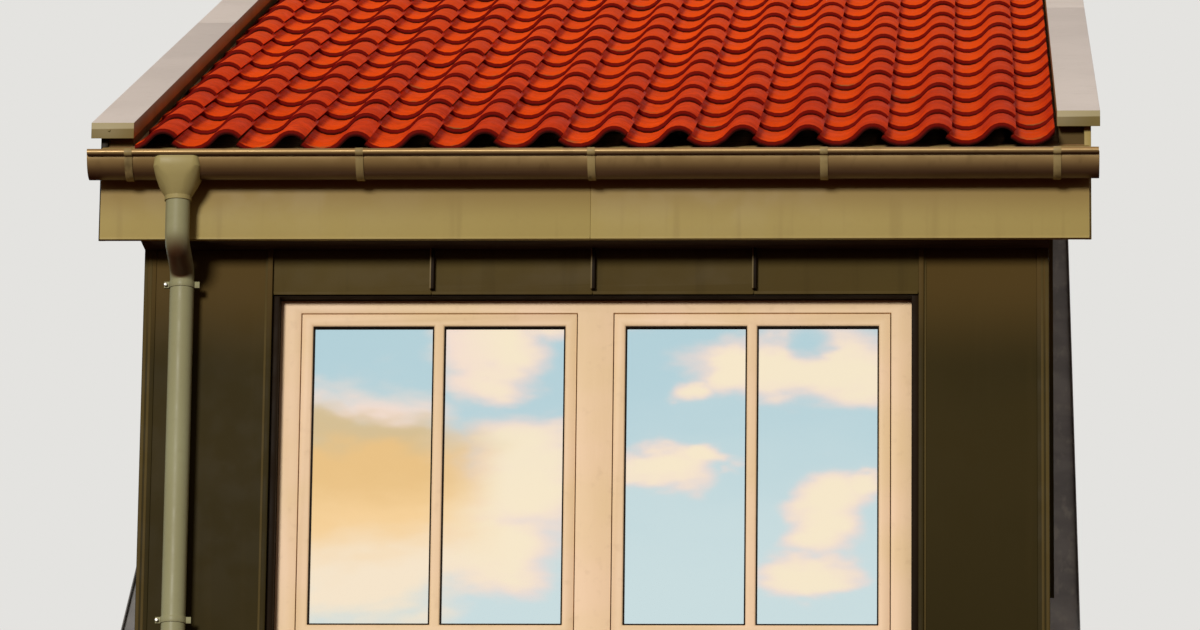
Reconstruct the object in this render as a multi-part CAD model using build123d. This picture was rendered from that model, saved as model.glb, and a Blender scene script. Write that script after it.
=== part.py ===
from build123d import *
import math
import os

# A shed dormer with a two-casement window, clad in standing-seam sheet and
# roofed with pantiles. X runs across the front, Y goes back and Z is up.
# Heights are measured from the front foot of the sole. The seat is the sloping
# plane on which the sole ring lies.

# Pitches of the seat and of the dormer roof, in degrees
main_pitch = 38.0
dormer_pitch = 22.0

# Timber walls on a sole ring that lies in the seat
timber_half_width = 1387.0
timber_wall = 120.0
sole_height = 60.0

# Standing-seam cladding, its corner trims and its bottom edge
cladding = 28.0
trim_proud = 3.0
trim_width = 38.0
cladding_foot = 150.0
seam_width = 9.0
seam_rise = 22.0
seam_pitch = 505.0
seam_shift = -8.0
seam_stop = 30.0
edge_seam_width = 16.0
edge_seam_rise = 14.0

# Window of two casements, each with one upright glazing bar
window_width = 1980.0
window_height = 1145.0
window_foot = 305.0
header_height = 140.0
window_recess = 60.0
fitting_gap = 10.0
reveal_band = 22.0
reveal_recess = 8.0
frame_depth = 70.0
jamb_width = 64.0
head_width = 40.0
frame_sill_height = 47.0
mullion_width = 112.0
frame_stop = 10.0
sash_depth = 54.0
sash_recess = 2.0
sash_gap = 3.0
stile_width = 38.0
top_rail = 41.0
bottom_rail = 62.0
bar_width = 37.0
glazing_splay = 7.0
pane_thickness = 24.0
pane_setback = 16.0
pane_rebate = 8.0

# Sill flashing under the window
sill_fall = 8.0
sill_sheet = 2.0
sill_overhang = 25.0
sill_drip = 18.0

# Eaves: soffit, fascia and the roof slab behind them
eaves_overhang = 160.0
fascia_board = 22.0
fascia_inset = 6.0
fascia_drop = 6.0
roof_slab = 241.0
tile_bed_rise = 365.0

# Pantiles: one wavy sheet, with its eaves edge over the gutter
tile_pitch = 201.2
tile_wave = 48.0
tile_thickness = 14.0
roll_share = 0.46
first_roll_inset = 78.3
tile_margin_left = 117.0
tile_margin_right = 114.0
tile_overhang = 57.0

# Verge boards and the metal caps over them, which lie at two heights
verge_overhang = 162.0
verge_board = 22.0
curb_inset = 100.0
curb_setback = 38.0
cap_cover_inside = 106.0
cap_cover_outside = 28.0
cap_skirt = 51.0
cap_sheet = 2.0
cap_front_overhang = 10.0
cap_rise_left = 69.0
cap_rise_right = 101.0
cap_length_left = 3060.0
cap_length_right = 3200.0

# Half-round gutter with a beaded front, carried by straps on the fascia
gutter_radius = 68.0
gutter_sheet = 2.0
gutter_bead = 20.0
gutter_reach = 23.0
gutter_rim_rise = 236.0
gutter_gap = 5.0
gutter_back_rise = 10.0
strap_width = 24.0
strap_thickness = 4.0
strap_pitch = 721.0
strap_count = 5
strap_leg = 34.0
seat_clearance = 0.3

# Outlet and downpipe, with a swan neck back to the wall. The outlet's shape goes
# down by shares of its height, width and reach, and of how round it is. Each of
# its four corners is made of narrow flats.
pipe_diameter = 76.0
pipe_sheet = 1.5
pipe_inset = 96.0
pipe_wall_distance = 65.0
outlet_width = 149.0
outlet_reach = 80.0
outlet_height = 113.0
outlet_shape = ((0.0, 0.95, 1.0, 0.35), (0.27, 1.0, 0.99, 0.42), (0.53, 0.91, 0.88, 0.76), (0.75, 0.79, 0.73, 0.96))
outlet_corner_flats = 6
outlet_sleeve = 14.0
outlet_hole = 84.0
outlet_gap = 4.0
neck_angle = 72.0
neck_bend = 48.0
neck_drop = 129.0
neck_tail = 10.0
shoe_height = 190.0
shoe_bend = 70.0
shoe_length = 60.0
clamp_band = 20.0
clamp_sheet = 2.5
clamp_drop = 1.0
lower_clamp_rise = 211.0
clamp_ear = 16.0
clamp_ear_depth = 22.0
clamp_bolt = 9.0
clamp_stem = 10.0
clamp_plate = 44.0

# Flashings around the dormer, on a surface above the seat
roof_surface = 117.0
flashing_sheet = 3.0
flashing_width = 131.0
flashing_welt = 20.0
apron_reach = 170.0
top_flashing_lap = 380.0
top_flashing_upstand = 220.0

# Slopes as rises, and the faces of the layers
main_rise = math.tan(math.radians(main_pitch))
dormer_rise = math.tan(math.radians(dormer_pitch))
main_cos = math.cos(math.radians(main_pitch))
dormer_cos = math.cos(math.radians(dormer_pitch))
cladding_half_width = timber_half_width + cladding
trim_half_width = cladding_half_width + trim_proud
trim_inner = trim_half_width - trim_width
band_half_width = window_width / 2 + reveal_band
opening_half_width = window_width / 2 + fitting_gap
window_head = window_foot + window_height
opening_head = window_head + fitting_gap
soffit_height = opening_head + header_height
window_face = window_recess - cladding
frame_back = window_face + frame_depth
fascia_face = -cladding - eaves_overhang
fascia_back = fascia_face + fascia_board
fascia_foot = soffit_height - fascia_drop
verge_half_width = timber_half_width + verge_overhang
verge_inner = verge_half_width - verge_board
fascia_half_width = verge_half_width - fascia_inset
cap_inner = verge_half_width - cap_cover_inside
cap_outer = verge_half_width + cap_cover_outside
seam_places = [seam_shift + step * seam_pitch for step in (-1, 0, 1)]
gutter_y = fascia_face - gutter_gap - gutter_radius
gutter_half_length = verge_half_width + gutter_reach
gutter_rim_height = soffit_height + gutter_rim_rise
bead_y = gutter_y - gutter_radius - gutter_bead / 2 + gutter_sheet
stop_end_inner = gutter_half_length - gutter_sheet
outlet_top = gutter_rim_height - gutter_bead / 2 - seat_clearance
outlet_foot_height = outlet_top - outlet_height
pipe_x = pipe_inset - timber_half_width
pipe_y = -cladding - pipe_wall_distance
neck_foot_height = soffit_height - neck_drop
upper_clamp_height = neck_foot_height - clamp_drop
lower_clamp_height = shoe_height + lower_clamp_rise
sole_top = timber_wall * main_rise + sole_height / main_cos
slab_rise = roof_slab / dormer_cos
tile_bed = soffit_height + tile_bed_rise
tile_top = tile_bed + tile_thickness / dormer_cos
tile_edge_left = tile_margin_left - verge_half_width
tile_edge_right = verge_half_width - tile_margin_right
first_roll = tile_edge_left + first_roll_inset
crest_top = tile_top + tile_wave / dormer_cos
cap_tops = {-1: tile_top + cap_rise_left, 1: tile_top + cap_rise_right}
cap_front = fascia_face - cap_front_overhang
cap_joints = {-1: cap_front + cap_length_left * dormer_cos, 1: cap_front + cap_length_right * dormer_cos}
slab_foot = tile_bed - slab_rise


def on_dormer(y, height):
    """The height at y of a plane parallel to the dormer roof."""
    return height + y * dormer_rise


def on_main(y, height=0.0):
    """The height at y of a plane parallel to the seat."""
    return height + y * main_rise


def meeting(dormer_height, main_height=0.0):
    """Where a plane of the dormer roof runs into one parallel to the seat."""
    return (dormer_height - main_height) / (main_rise - dormer_rise)


def sill_line(y):
    """The underside of the sloping sill flashing at y."""
    fall = max(0.0, window_face - y) * math.tan(math.radians(sill_fall))
    return window_foot - sill_sheet - fall


def profile(points, x_from, x_to):
    """A side outline of (y, z) points, extruded from one x to another."""
    start = min(x_from, x_to)
    outline = make_face(Plane.YZ.offset(start) * Polyline(*points, close=True))
    return extrude(outline, amount=abs(x_to - x_from))


def block(x_from, x_to, y_from, y_to, z_from, z_to):
    """A squared timber or sheet between six planes."""
    corner = (y_from, z_from), (y_to, z_from), (y_to, z_to), (y_from, z_to)
    return profile(corner, x_from, x_to)


# Sole ring in the plane of the seat

sole_rise = sole_height / main_cos
sole_end = meeting(slab_foot, sole_rise)


def sole_front():
    outline = (0, 0), (timber_wall, on_main(timber_wall)), (timber_wall, sole_top), (0, sole_top)
    return profile(outline, -timber_half_width, timber_half_width)


def sole_side(side):
    outline = (
        (timber_wall, on_main(timber_wall)),
        (sole_end, on_main(sole_end)),
        (sole_end, on_main(sole_end, sole_rise)),
        (timber_wall, sole_top),
    )
    return profile(outline, side * (timber_half_width - timber_wall), side * timber_half_width)


def head_trimmer():
    tip = meeting(slab_foot)
    outline = (sole_end, on_main(sole_end)), (tip, on_main(tip)), (sole_end, on_main(sole_end, sole_rise))
    return profile(outline, -timber_half_width, timber_half_width)


# Front wall around the window opening, and the triangular cheeks


def front_pier(side):
    outline = (
        (0, sole_top),
        (timber_wall, sole_top),
        (timber_wall, on_dormer(timber_wall, slab_foot)),
        (0, slab_foot),
    )
    return profile(outline, side * opening_half_width, side * timber_half_width)


def front_lintel():
    outline = (
        (0, opening_head),
        (timber_wall, opening_head),
        (timber_wall, on_dormer(timber_wall, slab_foot)),
        (0, slab_foot),
    )
    return profile(outline, -opening_half_width, opening_half_width)


def front_apron():
    outline = (
        (0, sole_top),
        (timber_wall, sole_top),
        (timber_wall, sill_line(timber_wall)),
        (window_face, sill_line(window_face)),
        (0, sill_line(0)),
    )
    return profile(outline, -opening_half_width, opening_half_width)


def cheek(side):
    outline = (
        (timber_wall, sole_top),
        (sole_end, on_main(sole_end, sole_rise)),
        (timber_wall, on_dormer(timber_wall, slab_foot)),
    )
    return profile(outline, side * (timber_half_width - timber_wall), side * timber_half_width)


# Roof slab, which runs back to the seat, with its eaves and verges


def roof_slab_solid():
    def outline(main_height):
        foot_end = meeting(slab_foot, main_height)
        top_end = meeting(tile_bed, main_height)
        return (
            (fascia_back, on_dormer(fascia_back, slab_foot)),
            (foot_end, on_main(foot_end, main_height)),
            (top_end, on_main(top_end, main_height)),
            (fascia_back, on_dormer(fascia_back, tile_bed)),
        )

    slab = profile(outline(0.0), -timber_half_width, timber_half_width)
    for side in (-1, 1):
        slab += profile(outline(roof_surface), side * timber_half_width, side * verge_inner)
    return slab


def soffit_box():
    outline = (
        (fascia_back, soffit_height),
        (0, soffit_height),
        (0, slab_foot),
        (fascia_back, on_dormer(fascia_back, slab_foot)),
    )
    return profile(outline, -verge_inner, verge_inner)


def fascia(x_from, x_to):
    outline = (
        (fascia_face, fascia_foot),
        (fascia_back, fascia_foot),
        (fascia_back, on_dormer(fascia_back, tile_bed)),
        (fascia_face, on_dormer(fascia_face, tile_bed)),
    )
    return profile(outline, x_from, x_to)


def verge_outline(foot, top, front):
    foot_end = meeting(foot, roof_surface)
    top_end = meeting(top, roof_surface)
    return (
        (front, on_dormer(front, foot)),
        (foot_end, on_main(foot_end, roof_surface)),
        (top_end, on_main(top_end, roof_surface)),
        (front, on_dormer(front, top)),
    )


def under_cap(side):
    return cap_tops[side] - cap_sheet / dormer_cos


def verge_board_solid(side):
    foot = fascia_foot - fascia_back * dormer_rise
    outline = verge_outline(foot, under_cap(side), fascia_back)
    return profile(outline, side * verge_inner, side * verge_half_width)


def verge_curb(side):
    outline = verge_outline(tile_bed, under_cap(side), fascia_face + curb_setback)
    return profile(outline, side * (verge_half_width - curb_inset), side * verge_inner)


def cap_shell(side, outside, hollow):
    """A folded cap from its side outline and the outline of its hollow."""
    cap = profile(outside, side * cap_inner, side * cap_outer)
    return cap - profile(hollow, side * (cap_inner + cap_sheet), side * (cap_outer - cap_sheet))


def verge_cap_lower(side):
    """The lower cap has a closed front end, and is open where the next one joins it."""

    def outline(foot, top, start, end):
        return (
            (start, on_dormer(start, foot)),
            (end, on_dormer(end, foot)),
            (end, on_dormer(end, top)),
            (start, on_dormer(start, top)),
        )

    top, joint = cap_tops[side], cap_joints[side]
    outside = outline(top - cap_skirt, top, cap_front, joint)
    hollow = outline(top - 2 * cap_skirt, under_cap(side), cap_front + cap_sheet, 2 * joint)
    return cap_shell(side, outside, hollow)


def verge_cap_upper(side):
    """The upper cap ends at a slope parallel to the seat."""
    top, joint = cap_tops[side], cap_joints[side]
    outside = verge_outline(top - cap_skirt, top, joint)
    hollow = verge_outline(top - 2 * cap_skirt, under_cap(side), joint - cap_sheet)
    return cap_shell(side, outside, hollow)


# Pantile covering: rolls and troughs as tangent arcs


def tile_covering():
    turn = 2 * math.atan(tile_wave / (tile_pitch / 2))
    both_radii = tile_pitch / (2 * math.sin(turn))
    roll_radius = both_radii * roll_share
    trough_radius = both_radii - roll_radius
    roll_half = roll_radius * math.sin(turn)
    count = math.ceil((tile_edge_right - first_roll) / tile_pitch) + 2

    def wave(extra):
        roll = roll_radius + extra
        trough = trough_radius - extra
        roll_centre = trough_radius * (1 - math.cos(turn)) - roll_radius * math.cos(turn)
        edge_shift = extra * math.sin(turn)
        joint = roll_centre + roll * math.cos(turn)
        arcs = []
        for step in range(-1, count):
            middle = first_roll + step * tile_pitch
            left = (middle - roll_half - edge_shift, joint)
            right = (middle + roll_half + edge_shift, joint)
            after = (middle + tile_pitch - roll_half - edge_shift, joint)
            low = (middle + tile_pitch / 2, joint - trough * (1 - math.cos(turn)))
            arcs.append(ThreePointArc(left, (middle, roll_centre + roll), right))
            arcs.append(ThreePointArc(right, low, after))
        return arcs

    upper = wave(tile_thickness)
    lower = wave(0.0)
    first_upper, last_upper = upper[0] @ 0, upper[-1] @ 1
    first_lower, last_lower = lower[0] @ 0, lower[-1] @ 1
    edges = upper + [Line(last_upper, last_lower)] + lower + [Line(first_lower, first_upper)]
    section = make_face(edges)
    front = fascia_face - tile_overhang
    back = meeting(tile_bed, roof_surface)
    down_slope = Plane(
        origin=(0, front, on_dormer(front, tile_bed)),
        x_dir=(1, 0, 0),
        z_dir=(0, -dormer_cos, -dormer_cos * dormer_rise),
    )
    sheet = extrude(down_slope * section, amount=(front - back) / dormer_cos)
    field = block(tile_edge_left, tile_edge_right, 2 * front, 2 * back, 0, 2 * on_dormer(back, crest_top))
    return sheet & field


# Gutter, its straps and the outlet


def gutter_strip(start_angle, end_angle):
    """The section of the sheet from one angle to another, round the trough from its back."""
    turn = end_angle - start_angle
    outer = CenterArc((gutter_y, gutter_rim_height), gutter_radius, start_angle, turn)
    inner = CenterArc((gutter_y, gutter_rim_height), gutter_radius - gutter_sheet, start_angle, turn)
    return make_face([outer, inner, Line(outer @ 0, inner @ 0), Line(outer @ 1, inner @ 1)])


def gutter_length(section, x_from, x_to):
    return extrude(Plane.YZ.offset(x_from) * section, amount=x_to - x_from)


def gutter_front():
    bead = Pos(bead_y, gutter_rim_height) * Circle(gutter_bead / 2)
    return gutter_length(gutter_strip(180, 225) + bead, -stop_end_inner, stop_end_inner)


def gutter_floor():
    """The bottom of the trough, on both sides of the hole over the outlet."""
    section = gutter_strip(225, 315)
    left = gutter_length(section, -stop_end_inner, pipe_x - outlet_hole / 2)
    return Part() + [left, gutter_length(section, pipe_x + outlet_hole / 2, stop_end_inner)]


def gutter_back():
    leg = Pos(gutter_y + gutter_radius - gutter_sheet / 2, gutter_rim_height + gutter_back_rise / 2) * (
        Rectangle(gutter_sheet, gutter_back_rise)
    )
    return gutter_length(gutter_strip(315, 360) + leg, -stop_end_inner, stop_end_inner)


def gutter_stop_end(side):
    outer = Pos(gutter_y, gutter_rim_height) * Circle(gutter_radius)
    upper_half = Pos(gutter_y, gutter_rim_height + gutter_radius) * Rectangle(
        3 * gutter_radius, 2 * gutter_radius
    )
    start = min(side * stop_end_inner, side * gutter_half_length)
    return gutter_length(outer - upper_half, start, start + gutter_sheet)


def gutter_strap(x_middle):
    reach = gutter_radius + seat_clearance
    outer = Pos(gutter_y, gutter_rim_height) * Circle(reach + strap_thickness)
    inner = Pos(gutter_y, gutter_rim_height) * Circle(reach)
    upper_half = Pos(gutter_y, gutter_rim_height + gutter_radius) * Rectangle(
        3 * gutter_radius, 2 * gutter_radius
    )
    bead_reach = gutter_bead / 2 + seat_clearance
    hook = Pos(bead_y, gutter_rim_height) * Circle(bead_reach + strap_thickness / 2)
    hook_hole = Pos(bead_y, gutter_rim_height) * Circle(bead_reach)
    leg_height = strap_leg + strap_thickness
    leg = Pos(fascia_face - strap_thickness / 2, gutter_rim_height + leg_height / 2 - strap_thickness) * (
        Rectangle(strap_thickness, leg_height)
    )
    cradle = outer - inner - upper_half
    section = (cradle + hook - hook_hole - (inner - upper_half)) + leg
    strap = extrude(Plane.YZ.offset(x_middle - strap_width / 2) * section, amount=strap_width)
    return strap.solids().sort_by(SortBy.VOLUME)[-1]


def gutter_straps():
    first = -(strap_count - 1) / 2 * strap_pitch
    return Part() + [gutter_strap(first + step * strap_pitch) for step in range(strap_count)]


def gutter_outlet():
    """A pressed bowl that hangs on the trough, flat at the back and round at its foot."""
    foot_radius = pipe_diameter / 2 + outlet_gap
    flat_back = fascia_face - seat_clearance - gutter_y
    turn = math.radians(90 / outlet_corner_flats)

    def section(down, width, reach, roundness, wall):
        back = min(reach, flat_back)
        across = width / 2
        along = (reach + back) / 2
        corner = roundness * min(across, along)
        bend = (corner - wall) / math.cos(turn / 2)
        points = []
        for flat in range(4 * outlet_corner_flats):
            way = (flat + 0.5) * turn
            x = math.copysign(across - corner, math.cos(way)) + bend * math.cos(way)
            y = math.copysign(along - corner, math.sin(way)) + bend * math.sin(way)
            points.append((x, y))
        place = Plane(
            origin=(pipe_x, gutter_y + (back - reach) / 2, outlet_top - down), x_dir=(1, 0, 0), z_dir=(0, 0, 1)
        )
        return place * make_face(Polyline(*points, close=True))

    def bowl(wall):
        sections = [
            section(down * outlet_height, width * outlet_width, reach * outlet_reach, roundness, wall)
            for down, width, reach, roundness in outlet_shape
        ]
        sections.append(section(outlet_height, 2 * foot_radius, foot_radius, 1, wall))
        return loft(sections, ruled=True)

    trough = Pos(pipe_x, gutter_y, gutter_rim_height) * Rot(0, 90, 0) * Cylinder(
        gutter_radius + seat_clearance, 2 * outlet_width
    )
    sleeve = Pos(pipe_x, gutter_y, outlet_foot_height - outlet_sleeve / 2) * (
        Cylinder(foot_radius, outlet_sleeve) - Cylinder(pipe_diameter / 2 + seat_clearance, outlet_sleeve)
    )
    return bowl(0) - bowl(gutter_sheet) - trough + sleeve


# Downpipe: swan neck, straight run with its shoe, and the clamps


def bent_pipe(y, z, bend_radius, moves):
    """A pipe from a top end at y and z, by runs and by bends back (+) or forward (-)."""
    heading = 0.0
    pipe = Part()
    ring = Circle(pipe_diameter / 2) - Circle(pipe_diameter / 2 - pipe_sheet)
    for run, bend in moves:
        ahead = math.sin(heading), -math.cos(heading)
        section = Plane(origin=(pipe_x, y, z), x_dir=(1, 0, 0), z_dir=(0, *ahead)) * ring
        pipe += extrude(section, amount=run)
        y += run * ahead[0]
        z += run * ahead[1]
        if bend:
            side = math.copysign(1.0, bend)
            centre_y = y + side * bend_radius * math.cos(heading)
            centre_z = z + side * bend_radius * math.sin(heading)
            section = Plane(origin=(pipe_x, y, z), x_dir=(1, 0, 0), z_dir=(0, *ahead)) * ring
            turn_axis = Axis((pipe_x, centre_y, centre_z), (side, 0, 0))
            pipe += revolve(section, axis=turn_axis, revolution_arc=abs(bend))
            heading += math.radians(bend)
            y = centre_y - side * bend_radius * math.cos(heading)
            z = centre_z - side * bend_radius * math.sin(heading)
    return pipe


def downpipe_neck():
    turn = math.radians(neck_angle)
    top = outlet_foot_height - seat_clearance
    corner = neck_bend * math.tan(turn / 2)
    back_step = pipe_y - gutter_y
    slant = back_step / math.sin(turn) - 2 * corner
    first = top - neck_foot_height - neck_tail - 2 * corner - back_step / math.tan(turn)
    last = neck_tail - seat_clearance
    return bent_pipe(gutter_y, top, neck_bend, [(first, neck_angle), (slant, -neck_angle), (last, 0)])


def downpipe_run():
    turn = 90 - main_pitch
    straight = neck_foot_height - shoe_height
    return bent_pipe(pipe_y, neck_foot_height, shoe_bend, [(straight, -turn), (shoe_length, 0)])


def pipe_clamp(height):
    inner = pipe_diameter / 2 + seat_clearance
    outer = inner + clamp_sheet
    band = Cylinder(outer, clamp_band) - Cylinder(inner, clamp_band)
    for side in (-1, 1):
        ear = Pos(side * (outer + clamp_ear / 2 - clamp_sheet / 2), 0, 0) * Box(
            clamp_ear, clamp_ear_depth / 2, clamp_band
        )
        band += ear - Cylinder(inner, clamp_band)
    bolt = Pos(-(outer + clamp_ear / 2), -clamp_ear_depth / 4, 0) * Rot(90, 0, 0)
    band += bolt * Pos(0, 0, clamp_bolt / 4) * Cylinder(clamp_bolt / 2, clamp_bolt / 2)
    stem_length = pipe_wall_distance - inner
    band += Pos(0, inner + stem_length / 2, 0) * Rot(90, 0, 0) * Cylinder(clamp_stem / 2, stem_length)
    plate = Pos(0, pipe_wall_distance - clamp_sheet / 2, 0) * Rot(90, 0, 0) * Cylinder(
        clamp_plate / 2, clamp_sheet
    )
    band += plate
    band -= Cylinder(inner, 2 * clamp_band)
    return Pos(pipe_x, pipe_y, height) * band


# Standing-seam cladding


def cladding_panel(side):
    panel = block(side * band_half_width, side * trim_inner, -cladding, 0, cladding_foot, soffit_height)
    seam = block(
        side * band_half_width,
        side * (band_half_width + edge_seam_width),
        -cladding - edge_seam_rise,
        -cladding,
        cladding_foot,
        soffit_height,
    )
    return panel + seam


def header_cladding():
    sheet = block(-band_half_width, band_half_width, -cladding, 0, opening_head, soffit_height)
    for place in seam_places:
        sheet += block(
            place - seam_width / 2,
            place + seam_width / 2,
            -cladding - seam_rise,
            -cladding,
            opening_head + seam_stop,
            soffit_height,
        )
    return sheet


def apron_cladding():
    outline = (-cladding, cladding_foot), (0, cladding_foot), (0, sill_line(0)), (-cladding, sill_line(-cladding))
    sheet = profile(outline, -band_half_width, band_half_width)
    for place in seam_places:
        sheet += block(
            place - seam_width / 2,
            place + seam_width / 2,
            -cladding - seam_rise,
            -cladding,
            cladding_foot,
            sill_line(-cladding) - seam_stop,
        )
    return sheet


def corner_trim(side):
    front = block(
        side * trim_inner, side * trim_half_width, -cladding - trim_proud, 0, cladding_foot, soffit_height
    )
    outline = (
        (0, cladding_foot),
        (trim_width, on_main(trim_width, cladding_foot)),
        (trim_width, on_dormer(trim_width, slab_foot)),
        (0, slab_foot),
    )
    return front + profile(outline, side * timber_half_width, side * trim_half_width)


def cheek_cladding(side):
    tip = meeting(slab_foot, cladding_foot)
    outline = (
        (trim_width, on_main(trim_width, cladding_foot)),
        (tip, on_main(tip, cladding_foot)),
        (trim_width, on_dormer(trim_width, slab_foot)),
    )
    sheet = profile(outline, side * timber_half_width, side * cladding_half_width)
    y = trim_width + seam_pitch
    while y < tip - seam_pitch / 2:
        sheet += block(
            side * cladding_half_width,
            side * (cladding_half_width + seam_rise),
            y - seam_width / 2,
            y + seam_width / 2,
            on_main(y, cladding_foot) + seam_stop,
            on_dormer(y, slab_foot) - seam_width,
        )
        y += seam_pitch
    return sheet


# Window: lining, sill flashing, frame, casements and panes


def window_reveal():
    half = window_width / 2
    front = -cladding + reveal_recess
    lining = block(-opening_half_width, opening_half_width, 0, frame_back, window_head, opening_head)
    lining += block(-band_half_width, band_half_width, front, 0, window_head, opening_head)
    for side in (-1, 1):
        inner = (0, sill_line(0) + sill_sheet), (window_face, window_foot), (frame_back, window_foot)
        jamb = inner + ((frame_back, window_head), (0, window_head))
        lining += profile(jamb, side * half, side * opening_half_width)
        band = (
            (front, sill_line(front) + sill_sheet),
            (0, sill_line(0) + sill_sheet),
            (0, window_head),
            (front, window_head),
        )
        lining += profile(band, side * half, side * band_half_width)
    return lining


def sill_flashing():
    nose = -cladding - sill_overhang
    drip = sill_line(nose) - sill_drip
    apron = (
        (0, sill_line(0) + sill_sheet),
        (nose, sill_line(nose) + sill_sheet),
        (nose, drip),
        (nose + sill_sheet, drip),
        (nose + sill_sheet, sill_line(nose + sill_sheet)),
        (0, sill_line(0)),
    )
    seat = (
        (0, sill_line(0)),
        (window_face, sill_line(window_face)),
        (frame_back, window_foot - sill_sheet),
        (frame_back, window_foot),
        (window_face, window_foot),
        (0, sill_line(0) + sill_sheet),
    )
    flashing = profile(apron, -band_half_width, band_half_width)
    return flashing + profile(seat, -opening_half_width, opening_half_width)


sash_foot = window_foot + frame_sill_height
sash_head = window_head - head_width
sash_face = window_face + sash_recess
sash_back = sash_face + sash_depth
light_inner = mullion_width / 2
light_outer = window_width / 2 - jamb_width


def window_frame():
    frame = block(
        -window_width / 2, window_width / 2, window_face, frame_back, window_foot, window_head
    )
    for side in (-1, 1):
        frame -= block(
            side * light_inner, side * light_outer, window_face - 1, sash_back, sash_foot, sash_head
        )
        frame -= block(
            side * (light_inner + frame_stop),
            side * (light_outer - frame_stop),
            window_face,
            frame_back + 1,
            sash_foot + frame_stop,
            sash_head - frame_stop,
        )
    return frame


def pane_places(side):
    """The x limits of the two lights of a casement, from the mullion out."""
    start = light_inner + sash_gap + stile_width
    end = light_outer - sash_gap - stile_width
    light = (end - start - bar_width) / 2
    return [(side * start, side * (start + light)), (side * (end - light), side * end)]


glass_foot = sash_foot + sash_gap + bottom_rail
glass_head = sash_head - sash_gap - top_rail


def casement(side):
    sash = block(
        side * (light_inner + sash_gap),
        side * (light_outer - sash_gap),
        sash_face,
        sash_back,
        sash_foot + sash_gap,
        sash_head - sash_gap,
    )
    for x_from, x_to in pane_places(side):
        middle = Pos((x_from + x_to) / 2, 0, (glass_foot + glass_head) / 2)
        width = abs(x_to - x_from)
        height = glass_head - glass_foot
        sash -= middle * Pos(0, (sash_face + sash_back) / 2, 0) * Box(width, 2 * sash_depth, height)
        splay_front = Plane(origin=(0, sash_face - 1, 0), x_dir=(1, 0, 0), z_dir=(0, 1, 0))
        splay_back = Plane(origin=(0, sash_face + glazing_splay, 0), x_dir=(1, 0, 0), z_dir=(0, 1, 0))
        wide = 2 * glazing_splay
        sash -= middle * loft(
            [splay_front * Rectangle(width + wide, height + wide), splay_back * Rectangle(width, height)]
        )
    for pane in panes_of(side):
        sash -= pane
    return sash


def panes_of(side):
    solids = []
    for x_from, x_to in pane_places(side):
        left, right = min(x_from, x_to), max(x_from, x_to)
        solids.append(
            block(
                left - pane_rebate,
                right + pane_rebate,
                sash_face + pane_setback,
                sash_face + pane_setback + pane_thickness,
                glass_foot - pane_rebate,
                glass_head + pane_rebate,
            )
        )
    return solids


# Flashings parallel to the seat


def apron_flashing():
    sheet = flashing_sheet / main_cos
    reach = timber_half_width + flashing_width
    flat = (
        (0, roof_surface),
        (-apron_reach, on_main(-apron_reach, roof_surface)),
        (-apron_reach, on_main(-apron_reach, roof_surface - sheet)),
        (0, roof_surface - sheet),
    )
    leg = block(
        -timber_half_width, timber_half_width, -flashing_sheet, 0, roof_surface - sheet, cladding_foot
    )
    return profile(flat, -reach, reach) + leg


def side_flashing(side):
    sheet = flashing_sheet / main_cos
    end = meeting(slab_foot, cladding_foot)
    reach = timber_half_width + flashing_width

    def strip(low, high, x_from, x_to):
        outline = (0, low), (end, on_main(end, low)), (end, on_main(end, high)), (0, high)
        return profile(outline, side * x_from, side * x_to)

    flat = strip(roof_surface - sheet, roof_surface, timber_half_width, reach)
    upstand = strip(roof_surface, cladding_foot, timber_half_width, timber_half_width + flashing_sheet)
    welt = strip(roof_surface, roof_surface + flashing_welt, reach - flashing_sheet, reach)
    return flat + upstand + welt


def top_flashing():
    seat = crest_top + seat_clearance
    fold = meeting(seat, roof_surface)
    lower = fold - top_flashing_lap
    upper = fold + top_flashing_upstand
    dormer_sheet = flashing_sheet / dormer_cos
    main_sheet = flashing_sheet / main_cos
    top_fold = meeting(seat + dormer_sheet, roof_surface + main_sheet)
    outline = (
        (lower, on_dormer(lower, seat)),
        (fold, on_dormer(fold, seat)),
        (upper, on_main(upper, roof_surface)),
        (upper, on_main(upper, roof_surface + main_sheet)),
        (top_fold, on_main(top_fold, roof_surface + main_sheet)),
        (lower, on_dormer(lower, seat + dormer_sheet)),
    )
    return profile(outline, -cap_inner + cap_sheet, cap_inner - cap_sheet)


# Written about the middle of the front sole's seat
seat_move = Pos(0, -timber_wall / 2, -on_main(timber_wall / 2))
os.makedirs("parts", exist_ok=True)


def save(name, solid):
    """Writes one piece with the origin at the seat."""
    export_step(seat_move * solid, f"parts/{name}.step")


def pair(piece):
    """The left one and the right one of a pair."""
    return Part() + [piece(-1), piece(1)]


save("sole_front", sole_front())
save("sole_sides", pair(sole_side))
save("head_trimmer", head_trimmer())
save("front_lintel", front_lintel())
save("front_apron", front_apron())
save("roof_slab", roof_slab_solid())
save("soffit_box", soffit_box())
save("fascia_left", fascia(-fascia_half_width, seam_shift))
save("fascia_right", fascia(seam_shift, fascia_half_width))
save("verge_boards", pair(verge_board_solid))
save("verge_curbs", pair(verge_curb))
save("tile_covering", tile_covering())
save("gutter_front", gutter_front())
save("gutter_floor", gutter_floor())
save("gutter_back", gutter_back())
save("gutter_stop_ends", pair(gutter_stop_end))
save("gutter_straps", gutter_straps())
save("gutter_outlet", gutter_outlet())
save("downpipe", Part() + [downpipe_neck(), downpipe_run()])
save("pipe_clamps", Part() + [pipe_clamp(upper_clamp_height), pipe_clamp(lower_clamp_height)])
save("header_cladding", header_cladding())
save("apron_cladding", apron_cladding())
save("corner_trims", pair(corner_trim))
save("window_reveal", window_reveal())
save("sill_flashing", sill_flashing())
save("window_frame", window_frame())
save("panes", Part() + panes_of(-1) + panes_of(1))
save("apron_flashing", apron_flashing())
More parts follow.
